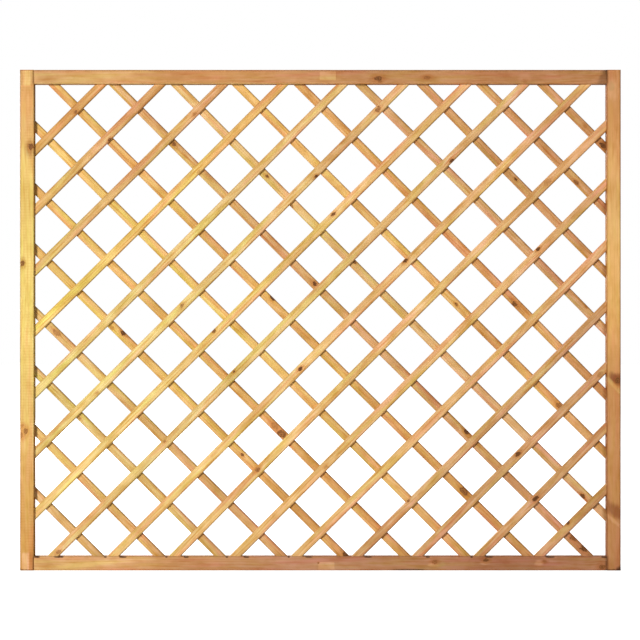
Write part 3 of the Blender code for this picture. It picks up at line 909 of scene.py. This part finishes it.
def lath_tree():
    """Geometry Nodes for one lath: a rounded bar whose ends are mitred to the frame's opening."""
    sizes = floats(
        "Offset", "Lean", "Angle", "Depth", "Width", "Thickness", "Rounding", "Flat margin",
        "Half opening width", "Half opening height", "Middle height", "Left shift", "Middle shift",
        "Right shift", "Wander", "Wander length", "Unevenness", "Unevenness length", "Seed", "End stain",
    )
    takes = sizes + [("Rounding steps", WHOLE), ("Rings", WHOLE), ("Material", MATERIAL)]
    tree, w, given, wanted = new_group("mitred_lath", takes, [("Geometry", GEOMETRY)], "GeometryNodeTree")
    line = w.out("GeometryNodeCurvePrimitiveLine", {"Start": (0, 0, 0), "End": (1, 0, 0)})
    rail = w.out("GeometryNodeResampleCurve", {"Curve": line, "Count": given["Rings"]})
    captured = w.node("GeometryNodeCaptureAttribute", {"Geometry": rail})
    captured.capture_items.new("FLOAT", "Share")
    w.feed(captured.inputs["Share"], w.out("GeometryNodeSplineParameter", output="Factor"))
    path, share = (Output(w, captured.outputs[name]) for name in ("Geometry", "Share"))
    feeds = {"Curve": path, "Profile Curve": lath_section(w, given), "Fill Caps": True}
    swept = w.out("GeometryNodeCurveToMesh", feeds)
    merged = w.out("GeometryNodeMergeByDistance", {"Geometry": swept, "Distance": MERGE_DISTANCE})
    across, through = w.split(w.out("GeometryNodeInputPosition"))[1:]

    # The lath's sprung line, cut off where each of its long edges meets the frame
    lean = given["Lean"]
    cosine, sine = w.maths("COSINE", given["Angle"]), w.maths("SINE", given["Angle"])
    bend = Bend(given["Left shift"], given["Middle shift"], given["Right shift"])
    asides = [given["Offset"] + shift + across for shift in (bend.left, bend.right)]
    half_opening = (given["Half opening width"], given["Half opening height"])
    ends = lath_ends(asides, half_opening, lean, cosine, sine, w.larger, w.smaller)
    along = w.blend(share, *ends)
    aside = given["Offset"] + sprung_aside(share, bend) + across
    leaning_sine = sine * lean

    # A sawn lath wanders a little from side to side, and its faces aren't quite true
    grain_along = along + given["Seed"] * LATH_SEED_STRIDE
    sway_place = w.join(grain_along / given["Wander length"], given["Seed"])
    sway = (w.cloud(sway_place, 1.0) - 0.5) * (given["Wander"] * 2.0)
    spacing = 1.0 / given["Unevenness length"]
    rough_place = w.join(grain_along * spacing, across * spacing, through * spacing)
    shrink = w.cloud(rough_place, 2.0) * given["Unevenness"]
    shift = sway - shrink * w.maths("SIGN", across)
    x = -(aside * leaning_sine) + (along * cosine - shift * leaning_sine)
    y = given["Depth"] + (abs(through) - shrink) * w.maths("SIGN", through)
    z = aside * cosine + given["Middle height"] + (along * leaning_sine + shift * cosine)

    grained = keep(w, merged, GRAIN_PLACE, w.join(grain_along, across, through), "FLOAT_VECTOR")
    # Painted shade near the lath's right end, where it meets the right stile
    near_end = w.rise(ends[1] - along, LATH_END_UNSHADED, LATH_END_SHADED)
    end_shaded = keep(w, grained, PAINTED_END_SHADE, near_end * given["End stain"])
    moved = w.out("GeometryNodeSetPosition", {"Geometry": end_shaded, "Position": w.join(x, y, z)})
    # Only a sawn end is a face with more than four corners
    corners = w.out("GeometryNodeInputMeshFaceNeighbors", output="Vertex Count")
    cut = keep(w, moved, CUT_END, w.maths("GREATER_THAN", corners, 4.5), domain="FACE")
    smooth = w.out("GeometryNodeSetShadeSmooth", {"Geometry": cut, "Shade Smooth": True})
    edge_angle = w.out("GeometryNodeInputMeshEdgeAngle", output="Unsigned Angle")
    sharp = w.maths("GREATER_THAN", edge_angle, SMOOTH_ANGLE)
    feeds = {"Geometry": smooth, "Selection": sharp, "Shade Smooth": False}
    dress(w, w.out("GeometryNodeSetShadeSmooth", feeds, domain="EDGE"), given, wanted)
    return tree


def grown_mesh(name, tree, values, start=None):
    """Runs a Geometry Nodes tree with the values given by its inputs' names, and returns a plain mesh."""
    grower = show(name + "_grower", start or bpy.data.meshes.new(name + "_grower"))
    modifier = grower.modifiers.new(name, "NODES")
    modifier.node_group = tree
    for item in tree.interface.items_tree:
        if item.in_out == "INPUT" and item.name in values:
            modifier[item.identifier] = values[item.name]
    grown = grower.evaluated_get(bpy.context.evaluated_depsgraph_get())
    mesh = bpy.data.meshes.new_from_object(grown)
    mesh.name = name
    grower.modifiers.clear()
    bpy.data.objects.remove(grower)
    return mesh


def lath_size(node, lean):
    """A CAD lath's place square to its length, its width, its depth and its thickness."""
    normal = Vector((-lean * math.sin(LATH_ANGLE), 0, math.cos(LATH_ANGLE)))
    middle = Vector((0, 0, MIDDLE_HEIGHT))
    aside = [normal.dot(vert.co - middle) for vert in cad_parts[node].data.vertices]
    low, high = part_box(node)
    return (min(aside) + max(aside)) / 2, max(aside) - min(aside), (low.y + high.y) / 2, high.y - low.y


def half_groove():
    """Half the width and height between the bottoms of the frame's grooves, as the laths fill them."""
    tops = [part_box(node)[1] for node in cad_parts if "_lath_" in node]
    return max(top.x for top in tops), max(top.z for top in tops) - MIDDLE_HEIGHT


def make_laths(name, layer):
    """Grows the laths of one layer in the place of their CAD nodes."""
    tree = bpy.data.node_groups.get("mitred_lath") or lath_tree()
    material = lath_pine(name)
    half_width, half_height = half_groove()
    dice = random.Random(LATH_SEED + layer.lean)
    laths = zip(nodes_named(name + "_lath_"), layer.stock, layer.bends)
    for number, (node, stock_name, bend) in enumerate(laths, start=1):
        offset, width, depth, thickness = lath_size(node, layer.lean)
        low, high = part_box(node)
        length = (high.x - low.x) / math.cos(LATH_ANGLE)
        meets_stile = high.x > half_width - LATH_END_MARGIN
        seed = dice.randrange(*LATH_SEEDS) + number / 8
        sizes = {
            "Offset": offset,
            "Lean": float(layer.lean),
            "Depth": depth,
            "Width": width,
            "Thickness": thickness,
            "Rings": max(LATH_FEWEST_RINGS, round(length / LATH_RING_SPACING)),
            "Half opening width": half_width,
            "Half opening height": half_height,
            "Middle height": MIDDLE_HEIGHT,
            "Left shift": bend.left,
            "Middle shift": bend.middle,
            "Right shift": bend.right,
            "Seed": seed,
            "End stain": layer.end_stain if meets_stile else 0.0,
            "Material": material,
        }
        mesh = grown_mesh(node + "_timber", tree, LATH_SIZES | sizes)
        pith_side = dice.uniform(*PITH_ASIDE)
        pith_depth = dice.choice((-1, 1)) * dice.uniform(*PITH_DEPTH)
        stamp(mesh, PITH, (pith_side, pith_depth, dice.uniform(*RING_WIDTH)))
        stamp(mesh, STOCK_TONE, STOCK_TONES[stock_name])
        start = seed * LATH_SEED_STRIDE
        own = [(knot.along + start, *knot[2:]) for knot in layer.knots if knot.lath == number]
        for knot_name, knot in zip(KNOT_NAMES, own + [NO_KNOT] * len(KNOT_NAMES)):
            stamp(mesh, knot_name, knot)
        piece = show(node + "_timber", mesh)
        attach(piece, "root")
        name + "_lath_wood"
        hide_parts(node)


def sliced_solid(node, axis):
    """A copy of a CAD timber with its doubles merged, cut across its length and beside its long edges."""
    low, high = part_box(node)
    centre = (low + high) / 2
    bm = bmesh.new()
    bm.from_mesh(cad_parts[node].data)
    bmesh.ops.remove_doubles(bm, verts=bm.verts, dist=MERGE_DISTANCE)
    cuts = [
        (axis, low[axis] - centre[axis] + step * TIMBER_SLICE)
        for step in range(1, int((high[axis] - low[axis]) / TIMBER_SLICE))
    ]
    cuts += [(turn, side * TIMBER_FLAT_EDGE) for turn in (1, 2 - axis) for side in (-1, 1)]
    for turn, place in cuts:
        direction = Vector((turn == 0, turn == 1, turn == 2))
        cut = {"plane_co": centre + direction * place, "plane_no": direction, "dist": MERGE_DISTANCE}
        bmesh.ops.bisect_plane(bm, geom=bm.verts[:] + bm.edges[:] + bm.faces[:], **cut)
    return bm, low, high, centre


def soften(vert, place, aside_axis):
    """Draws a point of a timber's long faces in by a hair, more in some places than in others."""
    hollow = 0.5 + 0.5 * noise.noise(place / TIMBER_UNEVENNESS_LENGTH + Vector((0, 0, aside_axis)))
    for turn, offset in ((aside_axis, place.y), (1, place.z)):
        if abs(abs(offset) - TIMBER_HALF) < TIMBER_SURFACE_BAND:
            vert.co[turn] -= math.copysign(TIMBER_UNEVENNESS * hollow, offset)


def smooth_mesh(name, bm):
    """A plain mesh from a bmesh, smooth but for its sharp edges."""
    mesh = bpy.data.meshes.new(name)
    bm.to_mesh(mesh)
    bm.free()
    mesh.shade_smooth()
    mesh.set_sharp_from_angle(angle=SMOOTH_ANGLE)
    return mesh


def make_timber(node, timber):
    """A frame timber after its CAD solid, with softened faces, the run of its grain and its sawn ends."""
    axis, aside_axis = timber.axis, 2 - timber.axis
    bm, low, high, centre = sliced_solid(node, axis)
    places = [
        Vector((vert.co[axis], vert.co[aside_axis] - centre[aside_axis], vert.co.y - centre.y))
        for vert in bm.verts
    ]
    for vert, place in zip(bm.verts, places):
        if min(vert.co[axis] - low[axis], high[axis] - vert.co[axis]) > END_MARGIN:
            soften(vert, place, aside_axis)
    mesh = smooth_mesh(node + "_timber", bm)
    keep_values(mesh, GRAIN_PLACE, "vector", [value for place in places for value in place])
    sawn = [float(abs(face.normal[axis]) > FACES_ALONG) for face in mesh.polygons]
    keep_values(mesh, CUT_END, "value", sawn, "FACE")
    stamp(mesh, PITH, timber.pith)
    mesh.materials.append(timber_pine(node, timber))
    piece = show(node + "_timber", mesh)
    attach(piece, "root")
    "stile_wood" if axis == UPRIGHT else "rail_wood"
    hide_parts(node)


def fastenings_tree():
    """Geometry Nodes that drive one fastening in at each point, along the point's own direction."""
    takes = [("Points", GEOMETRY), ("Fastening", OBJECT), ("Seed", WHOLE), ("Material", MATERIAL)]
    takes += floats("Turn spread", "Shift")
    tree, w, given, wanted = new_group("fastenings", takes, [("Geometry", GEOMETRY)], "GeometryNodeTree")
    forward, back = given["Shift"], -given["Shift"]
    feeds = {0: w.join(back, 0.0, back), 1: w.join(forward, 0.0, forward), "Seed": given["Seed"]}
    wander = w.out("FunctionNodeRandomValue", feeds, data_type="FLOAT_VECTOR")
    placed = w.out("GeometryNodeSetPosition", {"Geometry": given["Points"], "Offset": wander})
    drive = w.out("GeometryNodeInputNamedAttribute", {"Name": DRIVE}, "Attribute", data_type="FLOAT_VECTOR")
    facing = w.out("FunctionNodeAlignRotationToVector", {"Vector": drive}, axis="Z")
    feeds = {2: -given["Turn spread"], 3: given["Turn spread"], "Seed": given["Seed"]}
    angle = w.out("FunctionNodeRandomValue", feeds, 1, data_type="FLOAT")
    spin = w.out("FunctionNodeAxisAngleToRotation", {"Axis": (0, 0, 1), "Angle": angle})
    feeds = {"Rotation": facing, "Rotate By": spin}
    turned = w.out("FunctionNodeRotateRotation", feeds, rotation_space="LOCAL")
    shape = w.out("GeometryNodeObjectInfo", {"Object": given["Fastening"], "As Instance": True}, "Geometry")
    feeds = {"Points": placed, "Instance": shape, "Rotation": turned}
    dress(w, w.out("GeometryNodeInstanceOnPoints", feeds), given, wanted)
    return tree


def drive_in(name, shape, places, material, turn_spread, shift):
    """One piece of many fastenings. Each place is a point and the direction to drive its fastening in."""
    tree = bpy.data.node_groups.get("fastenings") or fastenings_tree()
    points = bpy.data.meshes.new(name + "_points")
    points.from_pydata([place for place, drive in places], [], [])
    keep_values(points, DRIVE, "vector", [value for place, drive in places for value in drive])
    pattern = show(name + "_pattern", shape)
    values = {
        "Fastening": pattern,
        "Turn spread": turn_spread,
        "Shift": shift,
        "Seed": FASTENING_SEED,
        "Material": material,
    }
    mesh = grown_mesh(name, tree, values, points)
    bpy.data.objects.remove(pattern)
    for leftover in [item.name for item in mesh.attributes if item.name == DRIVE]:
        mesh.attributes.remove(mesh.attributes[leftover])
    piece = show(name, mesh)
    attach(piece, "root")
    return piece


def skinned(name, rings, tips):
    """A closed mesh over rings of points. Each end runs to its tip, or is flat where the tip is None."""
    bm = bmesh.new()
    rings = [[bm.verts.new(point) for point in ring] for ring in rings]
    for ring, following in zip(rings, rings[1:]):
        for number in range(len(ring)):
            nearer = number - 1
            bm.faces.new((ring[nearer], ring[number], following[number], following[nearer]))
    for ring, tip in zip((rings[0], rings[-1]), tips):
        if tip is None:
            bm.faces.new(ring)
            continue
        point = bm.verts.new(tip)
        for number in range(len(ring)):
            bm.faces.new((ring[number - 1], ring[number], point))
    bmesh.ops.recalc_face_normals(bm, faces=bm.faces)
    return smooth_mesh(name, bm)


def staple_shape():
    """A wire staple: its crown's middle at z = 0, across x, and its legs along +z."""
    half = (STAPLE_CROWN - STAPLE_WIRE_THICKNESS) / 2
    right = [(Vector((half, 0, STAPLE_LEG)), Vector((1, 0, 0)))]
    for step in range(STAPLE_BEND_STEPS + 1):
        angle = math.pi / 2 * step / STAPLE_BEND_STEPS
        outward = Vector((math.cos(angle), 0, -math.sin(angle)))
        centre = Vector((half - STAPLE_BEND, 0, STAPLE_BEND))
        right.append((centre + outward * STAPLE_BEND, outward))
    mirror = Matrix.Scale(-1, 3, Vector((1, 0, 0)))
    path = right + [(mirror @ place, mirror @ outward) for place, outward in reversed(right)]
    thick, wide = STAPLE_WIRE_THICKNESS / 2, Vector((0, STAPLE_WIRE_WIDTH / 2, 0))
    corners = ((1, -1), (1, 1), (-1, 1), (-1, -1))
    rings = [
        [place + outward * (thick * out) + wide * side for out, side in corners]
        for place, outward in path
    ]
    return skinned("staple", rings, (None, None))


def screw_shape(length, head_radius):
    """A countersunk screw with a lobed drive and a coarse thread: its head at z = 0, its point along +z."""

    def lobed(share):
        swell = (SCREW_LOBE_RADIUS - SCREW_WAIST_RADIUS) / 2
        middle = (SCREW_LOBE_RADIUS + SCREW_WAIST_RADIUS) / 2
        return lambda angle: (middle + swell * math.cos(SCREW_LOBES * angle)) * share

    def threaded(depth, share):
        turns = depth / SCREW_THREAD_PITCH * 2 * math.pi
        height = (SCREW_CREST_RADIUS - SCREW_ROOT_RADIUS) * share
        return lambda angle: SCREW_ROOT_RADIUS * share + height * max(0.0, math.cos(turns - angle))

    stations = [
        (SCREW_RECESS_DEPTH, lobed(SCREW_RECESS_TAPER)),
        (0.0, lobed(1.0)),
        (0.0, lambda angle: head_radius - SCREW_RIM),
        (SCREW_RIM, lambda angle: head_radius),
        (SCREW_RIM * 1.3, lambda angle: head_radius),
        (SCREW_CONE, lambda angle: SCREW_CREST_RADIUS),
        (SCREW_THREAD_START, lambda angle: SCREW_CREST_RADIUS),
    ]
    step = SCREW_THREAD_PITCH / SCREW_THREAD_STEPS
    depth = SCREW_THREAD_START + step
    while depth < length - step:
        share = min(1.0, (length - depth) / SCREW_POINT)
        stations.append((depth, threaded(depth, share)))
        depth += step
    angles = [2 * math.pi * side / SCREW_SIDES for side in range(SCREW_SIDES)]
    rings = [
        [(radius(angle) * math.cos(angle), radius(angle) * math.sin(angle), depth) for angle in angles]
        for depth, radius in stations
    ]
    return skinned("screw", rings, ((0, 0, SCREW_RECESS_DEPTH * SCREW_RECESS_POINT), (0, 0, length)))


def lath_line(offset, lean, bend):
    """How far a sprung lath's middle line stands aside at a place along it, as a function of that place."""
    cosine, sine = math.cos(LATH_ANGLE), math.sin(LATH_ANGLE)
    asides = (offset + bend.left, offset + bend.right)
    left, right = lath_ends(asides, half_groove(), lean, cosine, sine, max, min)
    return lambda along: offset + sprung_aside((along - left) / (right - left), bend)


def make_staples():
    """A staple behind each crossing of two laths, where their sprung lines meet."""
    lines = {}
    for name, layer in LAYERS.items():
        laths = zip(nodes_named(name + "_lath_"), layer.bends)
        lines[name] = [lath_line(lath_size(node, layer.lean)[0], layer.lean, bend) for node, bend in laths]
    back = max(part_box(node)[1].y for node in nodes_named("rear_lath_"))
    depth = back + STAPLE_PROUD - STAPLE_WIRE_THICKNESS / 2
    inner_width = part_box("right_stile")[0].x - STAPLE_EDGE_ROOM
    inner_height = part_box("top_rail")[0].z - MIDDLE_HEIGHT - STAPLE_EDGE_ROOM
    places = []
    for front_line in lines["front"]:
        for rear_line in lines["rear"]:
            front, rear = 0.0, 0.0
            for closer in range(CROSSING_ROUNDS):
                front, rear = front_line(rear), rear_line(-front)
            x = (rear - front) * math.sin(LATH_ANGLE)
            z = (rear + front) * math.cos(LATH_ANGLE)
            if abs(x) < inner_width and abs(z) < inner_height:
                places.append((Vector((x, depth, z + MIDDLE_HEIGHT)), Vector((0, -1, 0))))
    steel = plated_metal("galvanised_wire", STEEL_TONE, STEEL_DULL_TONE, STEEL_SPOTS)
    drive_in("crossing_staples", staple_shape(), places, steel, STAPLE_TURN_SPREAD, STAPLE_SHIFT)


def make_screws():
    """The eight corner screws, in the place of their CAD nodes."""
    nodes = nodes_named("corner_screw_")
    places = []
    for node in nodes:
        low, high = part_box(node)
        middle = (low + high) / 2
        inward = -math.copysign(1, middle.x)
        head_x = low.x if inward > 0 else high.x
        places.append((Vector((head_x, middle.y, middle.z)), Vector((inward, 0, 0))))
    shape = screw_shape(high.x - low.x, (high.y - low.y) / 2)
    zinc = plated_metal("yellow_zinc", ZINC_TONE, ZINC_DULL_TONE, ZINC_SPOTS)
    screws = drive_in("corner_screws", shape, places, zinc, math.pi, 0.0)
    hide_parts(*nodes)


def camera():
    """Looks square on at the front, level, from the place that the photograph was taken from."""
    lens = bpy.data.cameras.new("front_camera")
    lens.lens = CAMERA_LENS_MM
    lens.sensor_width = CAMERA_SENSOR_MM
    lens.clip_end = CAMERA_CLIP
    viewer = show("front_camera", lens)
    viewer.location = (CAMERA_SIDE, cad_low.y - CAMERA_DISTANCE, CAMERA_HEIGHT)
    viewer.rotation_euler = (math.radians(90), 0, 0)
    bpy.context.scene.camera = viewer


def add_lamp(name, place, power):
    """A round soft lamp that is aimed at the panel's middle."""
    light = bpy.data.lights.new(name, "AREA")
    light.shape = "DISK"
    light.size = LAMP_SIZE
    light.energy = power
    lamp = show(name, light)
    lamp.location = place
    aim = Vector((0, 0, MIDDLE_HEIGHT)) - place
    lamp.rotation_euler = aim.to_track_quat("-Z", "Y").to_euler()


def seen_ray(w):
    """1 where the camera looks, straight or by a mirror or glass, and 0 for light that falls on things."""
    rays = w.outputs("ShaderNodeLightPath")
    return w.larger(rays["Is Camera Ray"], w.larger(rays["Is Glossy Ray"], rays["Is Transmission Ray"]))


def backdrop():
    """White all round for the camera, and a faint light from all round for the panel."""
    world = bpy.data.worlds.new("white_backdrop")
    world.use_nodes = True
    bpy.context.scene.world = world
    w = Wiring(world.node_tree)
    lights = world.node_tree.nodes["Background"]
    lights.inputs["Color"].default_value = (1, 1, 1, 1)
    lights.inputs["Strength"].default_value = FILL_STRENGTH
    shown = w.out("ShaderNodeBackground", {"Color": (1, 1, 1), "Strength": 1.0})
    mixed = w.out("ShaderNodeMixShader", {0: seen_ray(w), 1: Output(w, lights.outputs[0]), 2: shown})
    w.feed(world.node_tree.nodes["World Output"].inputs["Surface"], mixed)


def floor():
    """A floor that the camera sees as white, and that still takes the panel's shadow."""
    bm = bmesh.new()
    bmesh.ops.create_grid(bm, x_segments=1, y_segments=1, size=FLOOR_SIZE / 2)
    mesh = bpy.data.meshes.new("studio_floor")
    bm.to_mesh(mesh)
    bm.free()
    mesh.transform(Matrix.Translation((0, 0, cad_low.z - FLOOR_DROP)))
    material, w, shader = new_material("pale_floor")
    w.tree.nodes.remove(shader)
    matt = w.out("ShaderNodeBsdfDiffuse", {"Color": (FLOOR_TONE,) * 3})
    x, y, z = w.split(w.object_place())
    fading = w.rise(w.length(x, y), FLOOR_NEAR, FLOOR_FAR, FLOOR_GLOW, 1.0)
    glow = w.out("ShaderNodeEmission", {"Strength": seen_ray(w) * fading})
    both = w.out("ShaderNodeAddShader", {0: matt, 1: glow})
    w.feed(w.tree.nodes["Material Output"].inputs["Surface"], both)
    mesh.materials.append(material)
    show("studio_floor", mesh)


bpy.context.scene.view_settings.view_transform = "Standard"
camera()
add_lamp("key_lamp", KEY_PLACE, KEY_POWER)
add_lamp("back_lamp", BACK_LAMP_PLACE, BACK_LAMP_POWER)
add_lamp("top_lamp", TOP_LAMP_PLACE, TOP_LAMP_POWER)
backdrop()
floor()
for layer_name, lath_layer in LAYERS.items():
    make_laths(layer_name, lath_layer)
for timber_node, timber_look in TIMBERS.items():
    make_timber(timber_node, timber_look)
make_staples()
make_screws()
